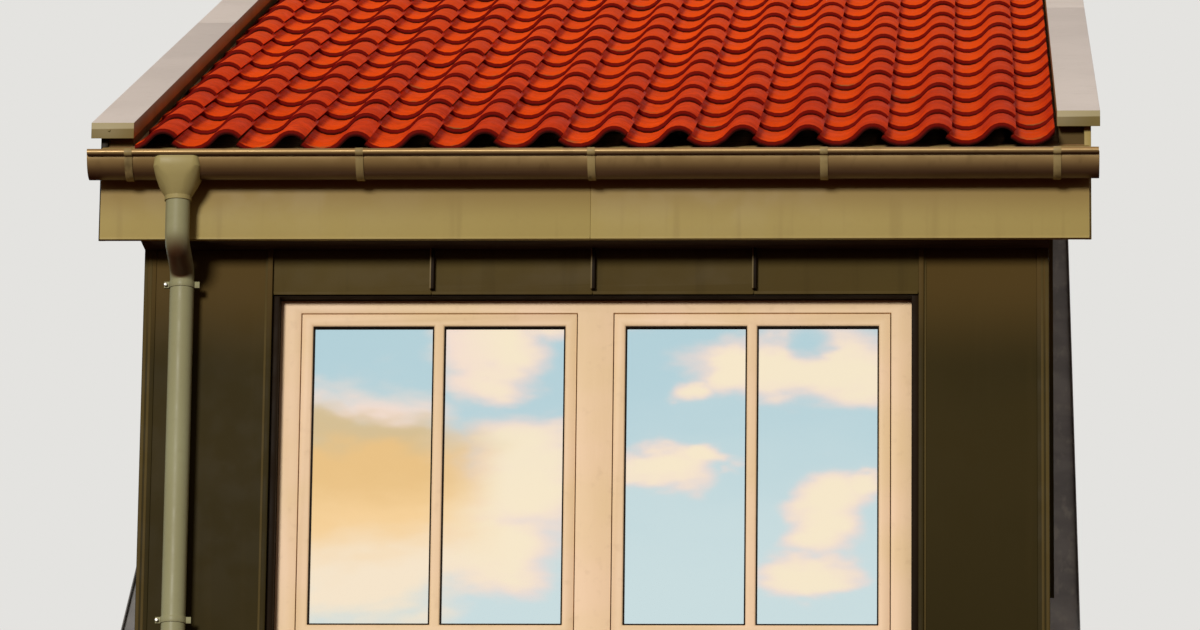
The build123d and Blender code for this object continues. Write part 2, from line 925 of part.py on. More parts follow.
save("side_flashings", pair(side_flashing))
save("top_flashing", top_flashing())
for label, side in (("left", -1), ("right", 1)):
    save(f"front_pier_{label}", front_pier(side))
    save(f"cheek_{label}", cheek(side))
    save(f"verge_cap_{label}_lower", verge_cap_lower(side))
    save(f"verge_cap_{label}_upper", verge_cap_upper(side))
    save(f"cladding_panel_{label}", cladding_panel(side))
    save(f"cheek_cladding_{label}", cheek_cladding(side))
    save(f"casement_{label}", casement(side))
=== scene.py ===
import math
import random

import bpy
from mathutils import Matrix, Vector


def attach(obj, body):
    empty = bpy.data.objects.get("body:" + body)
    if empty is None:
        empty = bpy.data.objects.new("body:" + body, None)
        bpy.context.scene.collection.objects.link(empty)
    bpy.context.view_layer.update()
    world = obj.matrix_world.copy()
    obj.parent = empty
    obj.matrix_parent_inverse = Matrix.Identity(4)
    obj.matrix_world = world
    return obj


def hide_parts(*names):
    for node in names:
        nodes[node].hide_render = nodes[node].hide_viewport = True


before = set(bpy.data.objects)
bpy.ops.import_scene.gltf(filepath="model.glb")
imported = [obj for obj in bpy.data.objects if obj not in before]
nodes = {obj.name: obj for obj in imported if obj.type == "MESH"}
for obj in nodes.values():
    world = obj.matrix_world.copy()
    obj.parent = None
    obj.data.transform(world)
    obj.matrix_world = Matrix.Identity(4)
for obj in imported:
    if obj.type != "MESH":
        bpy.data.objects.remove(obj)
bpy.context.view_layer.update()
bpy.ops.object.select_all(action="DESELECT")

# Camera: a long lens about 21 m in front of the dormer and 4 m below its
# foot, which looks up at the eaves and the window.
camera_place = (1.1883, -21.4741, -3.8983)
turn_degrees = 3.1355
rise_degrees = 13.748
roll_degrees = 0.686
bpy.ops.object.camera_add(location=camera_place)
camera = bpy.context.object
camera.name = "camera"
camera.rotation_mode = "QUATERNION"
camera.rotation_quaternion = (
    Matrix.Rotation(math.radians(turn_degrees), 3, "Z")
    @ Matrix.Rotation(math.radians(90 + rise_degrees), 3, "X")
    @ Matrix.Rotation(math.radians(roll_degrees), 3, "Z")
).to_quaternion()
camera.data.sensor_width = 36.0
camera.data.lens = 211.59
camera.data.clip_end = 1000.0
bpy.context.scene.camera = camera
bpy.context.scene.view_settings.view_transform = "Standard"


# Studio: a broad soft lamp low on the left, and a pale floor and sky. The
# glass and the metal sheets see a summer evening's small clouds instead.
def tint(red, green, blue):
    """A colour as the eye reads it, from 0 to 255, in the numbers that a shader works in."""
    def plain(value):
        value /= 255
        return value / 12.92 if value <= 0.04045 else ((value + 0.055) / 1.055) ** 2.4
    return (plain(red), plain(green), plain(blue), 1.0)


def feed(tree, socket, value):
    """Sets an input, or links another node's output to it."""
    if isinstance(value, bpy.types.NodeSocket):
        tree.links.new(value, socket)
    else:
        socket.default_value = value


def add(tree, kind, **settings):
    """Adds a node. Settings with a capital are its inputs, the rest its options."""
    node = tree.nodes.new("ShaderNode" + kind)
    for name, value in settings.items():
        if name[0].isupper():
            feed(tree, node.inputs[name.replace("_", " ")], value)
        else:
            setattr(node, name, value)
    return node


def figured(tree, how, first, second=0.0, third=0.0):
    """One sum on two or three shares."""
    node = add(tree, "Math", operation=how)
    for socket, value in zip(node.inputs, (first, second, third)):
        feed(tree, socket, value)
    return node.outputs[0]


def mixed(tree, share, under, over):
    """One colour over another by a share."""
    node = add(tree, "Mix", data_type="RGBA")
    for socket, value in zip((node.inputs[0], node.inputs[6], node.inputs[7]), (share, under, over)):
        feed(tree, socket, value)
    return node.outputs[2]


def ramp(tree, value, low, high, to_low=0.0, to_high=1.0):
    """A soft step between two values."""
    return add(
        tree, "MapRange", interpolation_type="SMOOTHSTEP", Value=value,
        From_Min=low, From_Max=high, To_Min=to_low, To_Max=to_high,
    ).outputs[0]


def new_finish(name):
    """A material with its tree of nodes."""
    finish = bpy.data.materials.new(name)
    finish.use_nodes = True
    return finish, finish.node_tree


def coloured(tree, colour):
    """Sets the colour that the shader shows."""
    feed(tree, tree.nodes["Principled BSDF"].inputs["Base Color"], colour)


def surface(tree, colour, roughness, specular=0.5, metal=0.0):
    """Sets what the shader shows."""
    shader = tree.nodes["Principled BSDF"]
    coloured(tree, colour)
    feed(tree, shader.inputs["Roughness"], roughness)
    shader.inputs["Specular IOR Level"].default_value = specular
    shader.inputs["Metallic"].default_value = metal


floor_height = -4.6
bpy.ops.mesh.primitive_plane_add(size=600, location=(0, 100, floor_height))
floor = bpy.context.object
floor.name = "studio_floor"
bpy.ops.object.transform_apply()
floor_finish, tree = new_finish("pale floor")
rays = add(tree, "LightPath").outputs
seen = figured(tree, "MAXIMUM", rays["Is Camera Ray"], rays["Is Transmission Ray"])
bounced = tint(90, 50, 33)
surface(tree, mixed(tree, seen, bounced, tint(224, 222, 218)), 0.95, 0.0)
floor.data.materials.append(floor_finish)

bpy.ops.object.light_add(type="SUN", location=(-9, -22, 9))
key = bpy.context.object
key.name = "key_lamp"
key.data.energy = 2.6
key.data.angle = math.radians(12)
key.data.color = (1.0, 0.975, 0.94)
key.rotation_euler = Vector((0.2275, 0.9474, -0.225)).to_track_quat("-Z", "Y").to_euler()

bpy.ops.object.light_add(type="SUN", location=(12, 20, 14))
fill = bpy.context.object
fill.name = "fill_lamp"
fill.data.energy = 0.35
fill.data.angle = math.radians(60)
fill.rotation_euler = Vector((-12.0, -16.0, -18.0)).to_track_quat("-Z", "Y").to_euler()

# Places in the sky are slopes from the house, in hundredths: sideways, and up.
# Noise bends the places, so that the banks of cloud have torn edges.
world = bpy.data.worlds.new("studio sky")
bpy.context.scene.world = world
world.use_nodes = True
sky = world.node_tree
way = add(sky, "SeparateXYZ", Vector=add(sky, "TexCoord").outputs["Generated"]).outputs
ahead = figured(sky, "MAXIMUM", figured(sky, "MULTIPLY", way["Y"], -0.01), 0.0005)
across = figured(sky, "DIVIDE", way["X"], ahead)
upward = figured(sky, "DIVIDE", way["Z"], ahead)
place = add(sky, "CombineXYZ", X=across, Y=upward).outputs["Vector"]
wind = (0, 0, math.radians(-25))
place = add(sky, "Mapping", Vector=place, Rotation=wind, Scale=(0.55, 1.5, 1.0)).outputs["Vector"]
for scale, reach in ((0.8, 1.1), (2.4, 0.45)):
    bend = add(sky, "TexNoise", Vector=place, Scale=scale, Detail=4.0, Roughness=0.6).outputs["Color"]
    bend = add(sky, "SeparateXYZ", Vector=bend).outputs
    across = figured(sky, "ADD", across, figured(sky, "MULTIPLY_ADD", bend["X"], reach, -reach / 2))
    upward = figured(sky, "ADD", upward, figured(sky, "MULTIPLY_ADD", bend["Y"], reach, -reach / 2))
billow = add(sky, "TexNoise", Vector=place, Scale=1.3, Detail=7.0, Roughness=0.6).outputs[0]
billow = figured(sky, "SUBTRACT", billow, 0.5)


def cloud(middle_x, middle_z, half_x, half_z):
    """A soft bank of cloud about a middle, by slopes from the house."""
    from_x = figured(sky, "DIVIDE", figured(sky, "SUBTRACT", across, middle_x), half_x)
    from_z = figured(sky, "DIVIDE", figured(sky, "SUBTRACT", upward, middle_z), half_z)
    far = figured(sky, "ADD", figured(sky, "POWER", from_x, 2.0), figured(sky, "POWER", from_z, 2.0))
    return figured(sky, "SUBTRACT", 1.0, figured(sky, "MINIMUM", far, 3.0))


# Each bank of cloud has its middle and half its size, across and upward.
banks = (
    (-8.9, 21.6, 2.3, 1.75), (-6.55, 22.15, 1.25, 1.05), (-7.0, 21.0, 1.0, 0.8),
    (-7.0, 24.05, 0.9, 0.62), (-6.0, 24.5, 1.3, 0.45), (-2.56, 23.70, 1.75, 0.66),
    (-3.61, 23.70, 0.50, 0.60), (-4.14, 23.21, 0.45, 0.24), (-4.72, 22.12, 0.80, 0.42),
    (-3.95, 22.27, 0.45, 0.16), (-2.15, 21.50, 0.60, 0.66), (-2.34, 20.67, 0.72, 0.34),
    (-1.65, 21.85, 0.42, 0.22),
)
clouds = cloud(*banks[0])
for bank in banks[1:]:
    clouds = figured(sky, "MAXIMUM", clouds, cloud(*bank))
hole = figured(sky, "MAXIMUM", cloud(-2.40, 24.05, 0.50, 0.34), 0.0)
clouds = figured(sky, "SUBTRACT", clouds, hole)
thick = figured(sky, "MULTIPLY_ADD", billow, 1.7, clouds)
share = ramp(sky, thick, -0.5, 0.6)
warm = mixed(sky, ramp(sky, thick, 0.0, 0.9), tint(250, 222, 212), tint(255, 237, 206))
lit_low = mixed(sky, ramp(sky, upward, 23.2, 22.8), tint(252, 226, 212), tint(218, 192, 146))
glows = (
    (22.7, 22.3, tint(240, 196, 130)),
    (22.2, 21.4, tint(254, 212, 152)),
    (21.5, 20.7, tint(255, 234, 206)),
)
for upper, lower, glow in glows:
    lit_low = mixed(sky, ramp(sky, upward, upper, lower), lit_low, glow)
warm = mixed(sky, ramp(sky, across, -6.6, -8.2), warm, lit_low)
blue = mixed(sky, ramp(sky, upward, 20.5, 24.2), tint(206, 225, 228), tint(182, 212, 221))
behind = ramp(sky, way["Y"], -0.2, 0.3)
above = mixed(sky, behind, tint(226, 190, 160), tint(130, 116, 120))
blue = mixed(sky, ramp(sky, way["Z"], 0.27, 0.5), blue, above)
seen_sky = mixed(sky, share, blue, warm)
rays = add(sky, "LightPath").outputs
pale = figured(sky, "MAXIMUM", rays["Is Camera Ray"], rays["Is Transmission Ray"])
dusk = (0.25, 0.205, 0.17, 1.0)
lit = mixed(sky, rays["Is Glossy Ray"], dusk, seen_sky)
feed(sky, sky.nodes["Background"].inputs["Color"], mixed(sky, pale, lit, tint(228, 227, 224)))


# Timber shell: sawn softwood studs, boards and soles, nailed. It shows only
# inside the dormer, under the eaves and from below.
def spotted(tree, scale, low, high, stretch=(1.0, 1.0, 1.0), detail=3.0):
    """A share that goes from 0 to 1 in soft spots about the piece."""
    place = add(tree, "TexCoord").outputs["Object"]
    place = add(tree, "Mapping", Vector=place, Scale=stretch).outputs["Vector"]
    return ramp(tree, add(tree, "TexNoise", Vector=place, Scale=scale, Detail=detail).outputs[0], low, high)


def bumped(tree, height, depth):
    """Gives the surface a slight relief, whose depth is in metres."""
    bump = add(tree, "Bump", Height=height, Distance=depth, Strength=1.0)
    feed(tree, tree.nodes["Principled BSDF"].inputs["Normal"], bump.outputs[0])


def sawn_timber(name, pale_wood, dark_wood, grain):
    """Rough wood, whose fibre runs the way in which the grain is stretched."""
    finish, tree = new_finish(name)
    fibre = spotted(tree, 6.0, 0.35, 0.65, grain, 6.0)
    board = spotted(tree, 1.3, 0.35, 0.65, detail=1.0)
    colour = mixed(tree, fibre, pale_wood, dark_wood)
    colour = mixed(tree, figured(tree, "MULTIPLY", board, 0.35), colour, dark_wood)
    surface(tree, colour, 0.8, 0.2)
    bumped(tree, fibre, 0.0006)
    return finish


def fitted(finish, *names):
    """Gives CAD nodes their finish."""
    for name in names:
        nodes[name].data.materials.clear()
        nodes[name].data.materials.append(finish)


long_timber = sawn_timber("sawn softwood", tint(196, 160, 112), tint(150, 108, 66), (1.0, 14.0, 14.0))
upright_timber = sawn_timber("upright boards", tint(190, 152, 106), tint(146, 104, 64), (14.0, 14.0, 1.0))
# Painted shade: the soffit board is coloured dark brown, standing in for the shade under the eaves.
shade_darkened_soffit_board = sawn_timber("soffit board in painted shade", tint(82, 62, 40), tint(58, 42, 26), (1.0, 16.0, 16.0))
fitted(long_timber, "sole_front", "sole_sides", "head_trimmer", "front_lintel", "front_apron", "roof_slab")
fitted(upright_timber, "front_pier_left", "front_pier_right", "cheek_left", "cheek_right")


# Pantiles: fired clay with an S-shaped section, hung on battens in courses.
# Each roll laps over the pan on its right, and each course rests on the one
# below it, so a tile lies a little flatter than the roof.
tile_length = 0.455
tile_cover = 0.2012
tile_wave = 0.055
clay = 0.016
gauge = 0.383
pitch = math.radians(22.0)
seat_pitch = math.radians(38.0)
eaves_y = -0.305
bed_height = 1.942365
courses = 15
columns = 15
first_x = -1.3537
bed_lift = 0.0255
lap_tilt = math.radians(2.1)
roof_tilt = 0.0035
high_end = 1.3625
sag_x = -0.95
sag_depth = 0.013
tiles_left = -1.432
tiles_right = 1.435
seat_rise = 0.117

# With these radii the roll's underside meets the pan of the next tile.
both_radii = 0.1397
turn = math.acos(1 - tile_wave / both_radii)
roll_radius = 0.42 * both_radii
pan_radius = 0.58 * both_radii
lift = math.radians(40)
roll_fall = math.radians(50)
tail = 0.002
lip_edge = 0.004


def mark(piece, test):
    """Marks the points of a piece that pass a test of their place, and goes to edit mode."""
    bpy.ops.object.mode_set(mode="OBJECT")
    for point in piece.data.vertices:
        point.select = test(point.co)
    for side in piece.data.edges:
        side.select = all(piece.data.vertices[i].select for i in side.vertices)
    for face in piece.data.polygons:
        face.select = all(piece.data.vertices[i].select for i in face.vertices)
    bpy.ops.object.mode_set(mode="EDIT")


def applied(piece, kind, **settings):
    """Adds a modifier to a piece and applies it."""
    bpy.context.view_layer.objects.active = piece
    modifier = piece.modifiers.new(kind.lower(), kind)
    for name, value in settings.items():
        setattr(modifier, name, value)
    bpy.ops.object.modifier_apply(modifier=modifier.name)


bpy.ops.mesh.primitive_plane_add(size=tile_length, location=(0, tile_length / 2, 0))
tile = bpy.context.object
tile.name = "tile"
bpy.ops.object.transform_apply()
mark(tile, lambda co: co.x > 0)
bpy.ops.mesh.delete(type="VERT")
bpy.ops.mesh.select_all(action="SELECT")
start_x = -pan_radius * math.sin(lift) - tail * math.cos(lift)
start_z = pan_radius * (1 - math.cos(lift)) + tail * math.sin(lift)
bpy.ops.transform.translate(value=(start_x + tile_length / 2, 0, start_z))
bpy.ops.mesh.extrude_region_move(
    TRANSFORM_OT_translate={"value": (tail * math.cos(lift), 0, -tail * math.sin(lift))}
)
bpy.ops.mesh.spin(steps=6, angle=lift + turn, center=(0, 0, pan_radius), axis=(0, 1, 0))
roll_x = (pan_radius + roll_radius) * math.sin(turn)
roll_z = pan_radius - (pan_radius + roll_radius) * math.cos(turn)
bpy.ops.mesh.spin(steps=7, angle=turn + roll_fall, center=(roll_x, 0, roll_z), axis=(0, -1, 0))
bpy.ops.mesh.select_all(action="SELECT")
bpy.ops.mesh.remove_doubles(threshold=0.0001)
bpy.ops.mesh.normals_make_consistent(inside=False)
bpy.ops.object.mode_set(mode="OBJECT")
if tile.data.polygons[3].normal.z < 0:
    tile.data.flip_normals()
top_points = len(tile.data.vertices)
applied(tile, "SOLIDIFY", thickness=clay, offset=-1.0)
depth = tile.data.attributes.new("depth", "FLOAT", "POINT")
depth.data.foreach_set("value", [float(i >= top_points) for i in range(len(tile.data.vertices))])
bpy.ops.object.mode_set(mode="EDIT")
bpy.ops.mesh.select_mode(type="EDGE")
bpy.ops.mesh.select_all(action="DESELECT")
bpy.ops.object.mode_set(mode="OBJECT")
for side in tile.data.edges:
    on_top = all(i < top_points for i in side.vertices)
    side.select = on_top and all(tile.data.vertices[i].co.y < 0.001 for i in side.vertices)
bpy.ops.object.mode_set(mode="EDIT")
bpy.ops.mesh.bevel(offset=lip_edge, segments=1, affect="EDGES")
bpy.ops.object.mode_set(mode="OBJECT")
bpy.ops.object.shade_smooth_by_angle(angle=math.radians(50))

place = tile.data.attributes.new("place", "FLOAT_VECTOR", "POINT")
place.data.foreach_set("vector", [value for point in tile.data.vertices for value in point.co])
tile.data.attributes.new("firing", "FLOAT", "POINT")

chance = random.Random(7)
normal = Vector((0, -math.sin(pitch), math.cos(pitch)))
tiles = []
for course in range(courses):
    for column in range(columns):
        copy = bpy.data.objects.new(f"tile_{course}_{column}", tile.data.copy())
        bpy.context.collection.objects.link(copy)
        x = first_x + (column - 0.5) * tile_cover
        y = eaves_y + course * gauge * math.cos(pitch)
        foot = Vector((x, y, bed_height + y * math.tan(pitch))) + bed_lift * normal
        foot.x += chance.uniform(-0.0012, 0.0012)
        foot.z += roof_tilt * (x - high_end) + chance.uniform(-0.0008, 0.0008)
        foot.y += chance.uniform(-0.003, 0.003)
        slope = pitch - lap_tilt + chance.uniform(-0.002, 0.002)
        if course == 0:
            width = 0.35 if x < sag_x else 0.75
            sag = sag_depth * math.exp(-(((x - sag_x) / width) ** 2))
            foot.z -= sag
            slope += math.asin(sag / tile_length)
        lean = Matrix.Rotation(slope, 4, "X") @ Matrix.Rotation(chance.uniform(-0.004, 0.004), 4, "Y")
        copy.data.transform(Matrix.Translation(foot) @ lean)
        firing = chance.random()
        copy.data.attributes["firing"].data.foreach_set("value", [firing] * len(copy.data.vertices))
        tiles.append(copy)
bpy.data.objects.remove(tile)
for copy in tiles:
    copy.select_set(True)
bpy.context.view_layer.objects.active = tiles[0]
bpy.ops.object.join()
pantiles = bpy.context.object
pantiles.name = "pantiles"


def cut(piece, point, direction):
    """Cuts off what lies beyond a plane, and closes the cut."""
    bpy.ops.object.mode_set(mode="EDIT")
    bpy.ops.mesh.select_all(action="SELECT")
    bpy.ops.mesh.bisect(plane_co=point, plane_no=direction, clear_outer=True, use_fill=True)
    bpy.ops.object.mode_set(mode="OBJECT")


cut(pantiles, (tiles_left, 0, 0), (-1, 0, 0))
cut(pantiles, (tiles_right, 0, 0), (1, 0, 0))
cut(pantiles, (0, 0, seat_rise), (0, math.sin(seat_pitch), -math.cos(seat_pitch)))


def placed(tree):
    """Where a point lies on the dormer, by its X, Y and Z."""
    return add(tree, "SeparateXYZ", Vector=add(tree, "TexCoord").outputs["Object"]).outputs


clay_finish, tree = new_finish("fired clay")
firing = add(tree, "Attribute", attribute_name="firing").outputs["Fac"]
place = add(tree, "Attribute", attribute_name="place").outputs["Vector"]
on_tile = add(tree, "SeparateXYZ", Vector=place).outputs
colour = mixed(tree, firing, tint(214, 60, 10), tint(236, 74, 12))
colour = mixed(tree, spotted(tree, 9.0, 0.35, 0.7), colour, tint(198, 54, 12))
mottle = figured(tree, "MULTIPLY", spotted(tree, 60.0, 0.45, 0.75), 0.5)
colour = mixed(tree, mottle, colour, tint(140, 34, 12))
on_roof = placed(tree)
# The tiles are coloured darker towards the right and brighter further up the roof.
darker_to_the_right = figured(tree, "MULTIPLY", ramp(tree, on_roof["X"], 0.1, 1.4), 0.4)
colour = mixed(tree, darker_to_the_right, colour, tint(172, 42, 12))
brighter_up_the_roof = figured(tree, "MULTIPLY", ramp(tree, on_roof["Y"], 0.2, 2.6), 0.35)
colour = mixed(tree, brighter_up_the_roof, colour, tint(255, 92, 16))
pan = ramp(tree, on_tile["Z"], 0.024, -0.002)
colour = mixed(tree, figured(tree, "MULTIPLY", pan, 0.35), colour, tint(250, 94, 10))
# Painted sheen: the crests are tinted pinkish grey, a painted reflection of the sky.
painted_crest_sheen = ramp(tree, on_tile["Z"], 0.032, 0.056)
colour = mixed(tree, figured(tree, "MULTIPLY", painted_crest_sheen, 0.2), colour, tint(196, 74, 50))
near_lip = figured(tree, "MULTIPLY", pan, ramp(tree, on_tile["Y"], 0.10, 0.0))
lichen = figured(tree, "MULTIPLY", spotted(tree, 11.0, 0.56, 0.63, detail=6.0), near_lip)
colour = mixed(tree, lichen, colour, tint(124, 100, 56))
# Painted shade: each tile's front lip is darkened to dark red, and its lower part nearly to black, as the
# painted shadow line under each course.
depth = add(tree, "Attribute", attribute_name="depth").outputs["Fac"]
painted_lip_shade = ramp(tree, on_tile["Y"], 0.012, 0.004)
colour = mixed(tree, painted_lip_shade, colour, tint(106, 14, 6))
colour = mixed(tree, ramp(tree, depth, 0.3, 0.9), colour, tint(40, 8, 5))
surface(tree, colour, ramp(tree, spotted(tree, 14.0, 0.3, 0.7), 0.0, 1.0, 0.5, 0.65), 0.02)
bumped(tree, spotted(tree, 170.0, 0.3, 0.7, detail=5.0), 0.0004)
pantiles.data.materials.clear()
pantiles.data.materials.append(clay_finish)
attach(pantiles, "root")
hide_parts("tile_covering")


# Flashings: dull grey rolled sheet, laid at the foot and beside both cheeks.
# The top one is dressed over the rolls of the top course.
def ridden(piece, finish, slot, *names):
    """Finishes a piece, which rides on the dormer and stands for CAD nodes or adds to them."""
    piece.data.materials.clear()
    piece.data.materials.append(finish)
    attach(piece, "root")
    if names:
        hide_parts(*names)
    return piece


grey_finish, tree = new_finish("dull grey sheet")
colour = mixed(tree, spotted(tree, 5.0, 0.35, 0.65), tint(150, 150, 148), tint(126, 127, 126))
colour = mixed(tree, spotted(tree, 30.0, 0.5, 0.75, (1, 0.3, 0.3)), colour, tint(168, 166, 160))
surface(tree, colour, 0.5, 0.5, 0.3)
bumped(tree, spotted(tree, 4.0, 0.3, 0.7), 0.002)
fitted(grey_finish, "apron_flashing", "side_flashings")

# The top flashing starts as a flat sheet with a fold. Each pass then lifts it
# over one more layer of tile, where a roll comes through it.
top_width = 2.882
top_foot = Vector((0, 4.6365, 3.8770))
top_fold = Vector((0, 5.0155, 4.0301))
top_head = Vector((0, 5.2360, 4.2025))
top_sheet_thickness = 0.0025
clear_of_tiles = 0.002
bpy.ops.object.select_all(action="DESELECT")
bpy.ops.mesh.primitive_grid_add(x_subdivisions=270, y_subdivisions=12, size=1)
top_sheet = bpy.context.object
top_sheet.name = "top_flashing_dressed"
bpy.ops.object.mode_set(mode="EDIT")
bpy.ops.transform.resize(value=(top_width, (top_fold - top_foot).length, 1))
bpy.ops.object.mode_set(mode="OBJECT")
top_sheet.rotation_euler.x = pitch
top_sheet.location = (top_foot + top_fold) / 2
bpy.ops.object.transform_apply()
mark(top_sheet, lambda co: co.y > top_fold.y - 0.001)
bpy.ops.mesh.extrude_region_move(TRANSFORM_OT_translate={"value": top_head - top_fold})
bpy.ops.object.mode_set(mode="OBJECT")
for _ in range(3):
    applied(
        top_sheet, "SHRINKWRAP", target=pantiles, wrap_method="PROJECT", cull_face="FRONT",
        use_project_z=True, use_positive_direction=True, use_negative_direction=False,
    )
    top_sheet.data.transform(Matrix.Translation((0, 0, clear_of_tiles)))
applied(top_sheet, "SOLIDIFY", thickness=top_sheet_thickness, offset=1.0)
bpy.ops.object.shade_smooth_by_angle(angle=math.radians(40))
ridden(top_sheet, grey_finish, "grey_sheet", "top_flashing")


# Verge boards, curbs and caps: boards faced in coated sheet, and folded caps
# in two lengths a side, which lap at a joint. Their tops are painted pale, a
# painted reflection of the sky.
def eased(name, edge, finish, slot, steps=2):
    """A copy of a CAD piece with its sharp edges eased, as folded sheet or planed stock has."""
    piece = bpy.data.objects.new(name + "_eased", nodes[name].data.copy())
    bpy.context.collection.objects.link(piece)
    bpy.ops.object.select_all(action="DESELECT")
    piece.select_set(True)
    bpy.context.view_layer.objects.active = piece
    bpy.ops.mesh.customdata_custom_splitnormals_clear()
    bpy.ops.object.mode_set(mode="EDIT")
    bpy.ops.mesh.select_all(action="SELECT")
    bpy.ops.mesh.remove_doubles(threshold=0.00002)
    bpy.ops.mesh.dissolve_limited(angle_limit=math.radians(1.0))
    bpy.ops.object.mode_set(mode="OBJECT")
    applied(piece, "BEVEL", width=edge, segments=steps, limit_method="ANGLE", angle_limit=math.radians(30))
    bpy.ops.object.shade_smooth_by_angle(angle=math.radians(40))
    return ridden(piece, finish, slot, name)


def coated_sheet(name, plain, faded, stained, roughness, specular, grime=0.5, metal=0.0):
    """Coil-coated sheet: an even coat with a few rain streaks, faded patches and dust."""
    finish, tree = new_finish(name)
    colour = mixed(tree, spotted(tree, 1.6, 0.35, 0.65, detail=1.5), plain, faded)
    streak = figured(tree, "MULTIPLY", spotted(tree, 20.0, 0.56, 0.72, (1.0, 1.0, 0.05), 2.0), grime)
    colour = mixed(tree, streak, colour, stained)
    dust = figured(tree, "MULTIPLY", spotted(tree, 45.0, 0.5, 0.8, detail=6.0), 0.3 * grime)
    colour = mixed(tree, dust, colour, stained)
    rough = ramp(tree, spotted(tree, 10.0, 0.3, 0.7), 0.0, 1.0, roughness - 0.05, roughness + 0.06)
    surface(tree, colour, rough, specular, metal)
    bumped(tree, spotted(tree, 2.5, 0.2, 0.8, detail=1.0), 0.0002)
    return finish, tree, colour


def faced(tree):
    """Where a surface looks, by its X, Y and Z."""
    return add(tree, "SeparateXYZ", Vector=add(tree, "NewGeometry").outputs["Normal"]).outputs


dark, tree, colour = coated_sheet(
    "dark coated sheet", tint(55, 46, 20), tint(51, 43, 19), tint(60, 50, 24), 0.55, 0.05, 0.3
)
# Painted light: the sheet turns paler and warmer towards the top of the wall, standing in for light
# reflected there.
coloured(tree, mixed(tree, ramp(tree, placed(tree)["Z"], 1.15, 1.5), colour, tint(84, 66, 32)))

cap_coat, tree = new_finish("cap sheet")
facing = faced(tree)
# Painted reflection: the caps' tops are coloured pale, standing in for the sky they mirror, with faint dust
# spots on them.
painted_top_sheen_and_dust = mixed(tree, spotted(tree, 3.0, 0.3, 0.7), tint(230, 221, 213), tint(224, 215, 207))
dust = figured(tree, "MULTIPLY", spotted(tree, 26.0, 0.55, 0.75), 0.15)
painted_top_sheen_and_dust = mixed(tree, dust, painted_top_sheen_and_dust, tint(190, 180, 164))
sides = mixed(tree, spotted(tree, 6.0, 0.3, 0.7, (1.0, 1.0, 0.2)), tint(122, 106, 60), tint(112, 97, 54))
# The caps' front faces are paler above a fold, which lies higher on the left.
where = placed(tree)
level = figured(tree, "MULTIPLY_ADD", where["X"], -0.0106, where["Z"])
fold = figured(tree, "MULTIPLY", ramp(tree, level, 1.917, 1.920), ramp(tree, facing["Y"], -0.6, -0.9))
sides = mixed(tree, fold, sides, tint(166, 154, 116))
# Faces that look up take the pale painted reflection.
surface(tree, mixed(tree, ramp(tree, facing["Z"], 0.45, 0.85), sides, painted_top_sheen_and_dust), 0.45, 0.12)
bumped(tree, spotted(tree, 2.5, 0.2, 0.8, detail=1.0), 0.0005)

verge_coat, tree, colour = coated_sheet(
    "verge sheet", tint(168, 148, 88), tint(162, 142, 84), tint(138, 118, 70), 0.5, 0.1
)
# The boards' ends are in deep shade between the caps and the gutter.
where = placed(tree)
shade = figured(tree, "MULTIPLY", ramp(tree, where["X"], 1.53, 1.525), ramp(tree, where["Y"], -0.15, -0.22))
coloured(tree, mixed(tree, shade, colour, tint(36, 26, 12)))
eased("verge_boards", 0.002, verge_coat, "khaki_sheet")
fitted(dark, "verge_curbs")
for side in ("left", "right"):
    for length in ("lower", "upper"):
        eased(f"verge_cap_{side}_{length}", 0.004, cap_coat, "cap_sheet", 3)

zinc, tree = new_finish("zinc-plated fixings")
grains = spotted(tree, 200.0, 0.4, 0.7)
surface(tree, mixed(tree, grains, tint(196, 192, 182), tint(150, 144, 132)), 0.35, 0.5, 0.6)
screw_place = (-1.521, -0.2595, 1.897)
facing_front = (math.radians(90), 0, 0)
bpy.ops.mesh.primitive_cylinder_add(
    vertices=16, radius=0.0042, depth=0.004, location=screw_place, rotation=facing_front
)
cap_screw = bpy.context.object
cap_screw.name = "cap_screw"
bpy.ops.object.transform_apply()
applied(cap_screw, "BEVEL", width=0.0014, segments=3, limit_method="ANGLE")
bpy.ops.object.shade_smooth_by_angle(angle=math.radians(40))
ridden(cap_screw, cap_coat, "cap_sheet")


# Eaves: fascia sheets folded over a board and butted at a joint, with a
# folded hem along the foot. The soffit board, painted dark as shade, ends
# at the walls.
def strip(low, high, edge):
    """A long narrow fold between two corners."""
    middle = [(a + b) / 2 for a, b in zip(low, high)]
    bpy.ops.mesh.primitive_cube_add(size=1, location=middle)
    piece = bpy.context.object
    bpy.ops.object.mode_set(mode="EDIT")
    bpy.ops.mesh.select_all(action="SELECT")
    bpy.ops.transform.resize(value=[b - a for a, b in zip(low, high)])
    bpy.ops.object.mode_set(mode="OBJECT")
    bpy.ops.object.transform_apply()
    applied(piece, "BEVEL", width=edge, segments=3, limit_method="ANGLE")
    bpy.ops.object.shade_smooth_by_angle(angle=math.radians(40))
    return piece


def joined(name, pieces):
    """Makes one piece of several."""
    bpy.ops.object.select_all(action="DESELECT")
    for piece in pieces:
        piece.select_set(True)
    bpy.context.view_layer.objects.active = pieces[0]
    bpy.ops.object.join()
    pieces[0].name = name
    return pieces[0]


soffit_end = 1.418
soffit = eased("soffit_box", 0.001, shade_darkened_soffit_board, "timber")
cut(soffit, (-soffit_end, 0, 0), (-1, 0, 0))
cut(soffit, (soffit_end, 0, 0), (1, 0, 0))
fascia_coat, tree, colour = coated_sheet(
    "fascia sheet", tint(172, 153, 92), tint(167, 148, 89), tint(146, 126, 76), 0.5, 0.1, 0.35
)
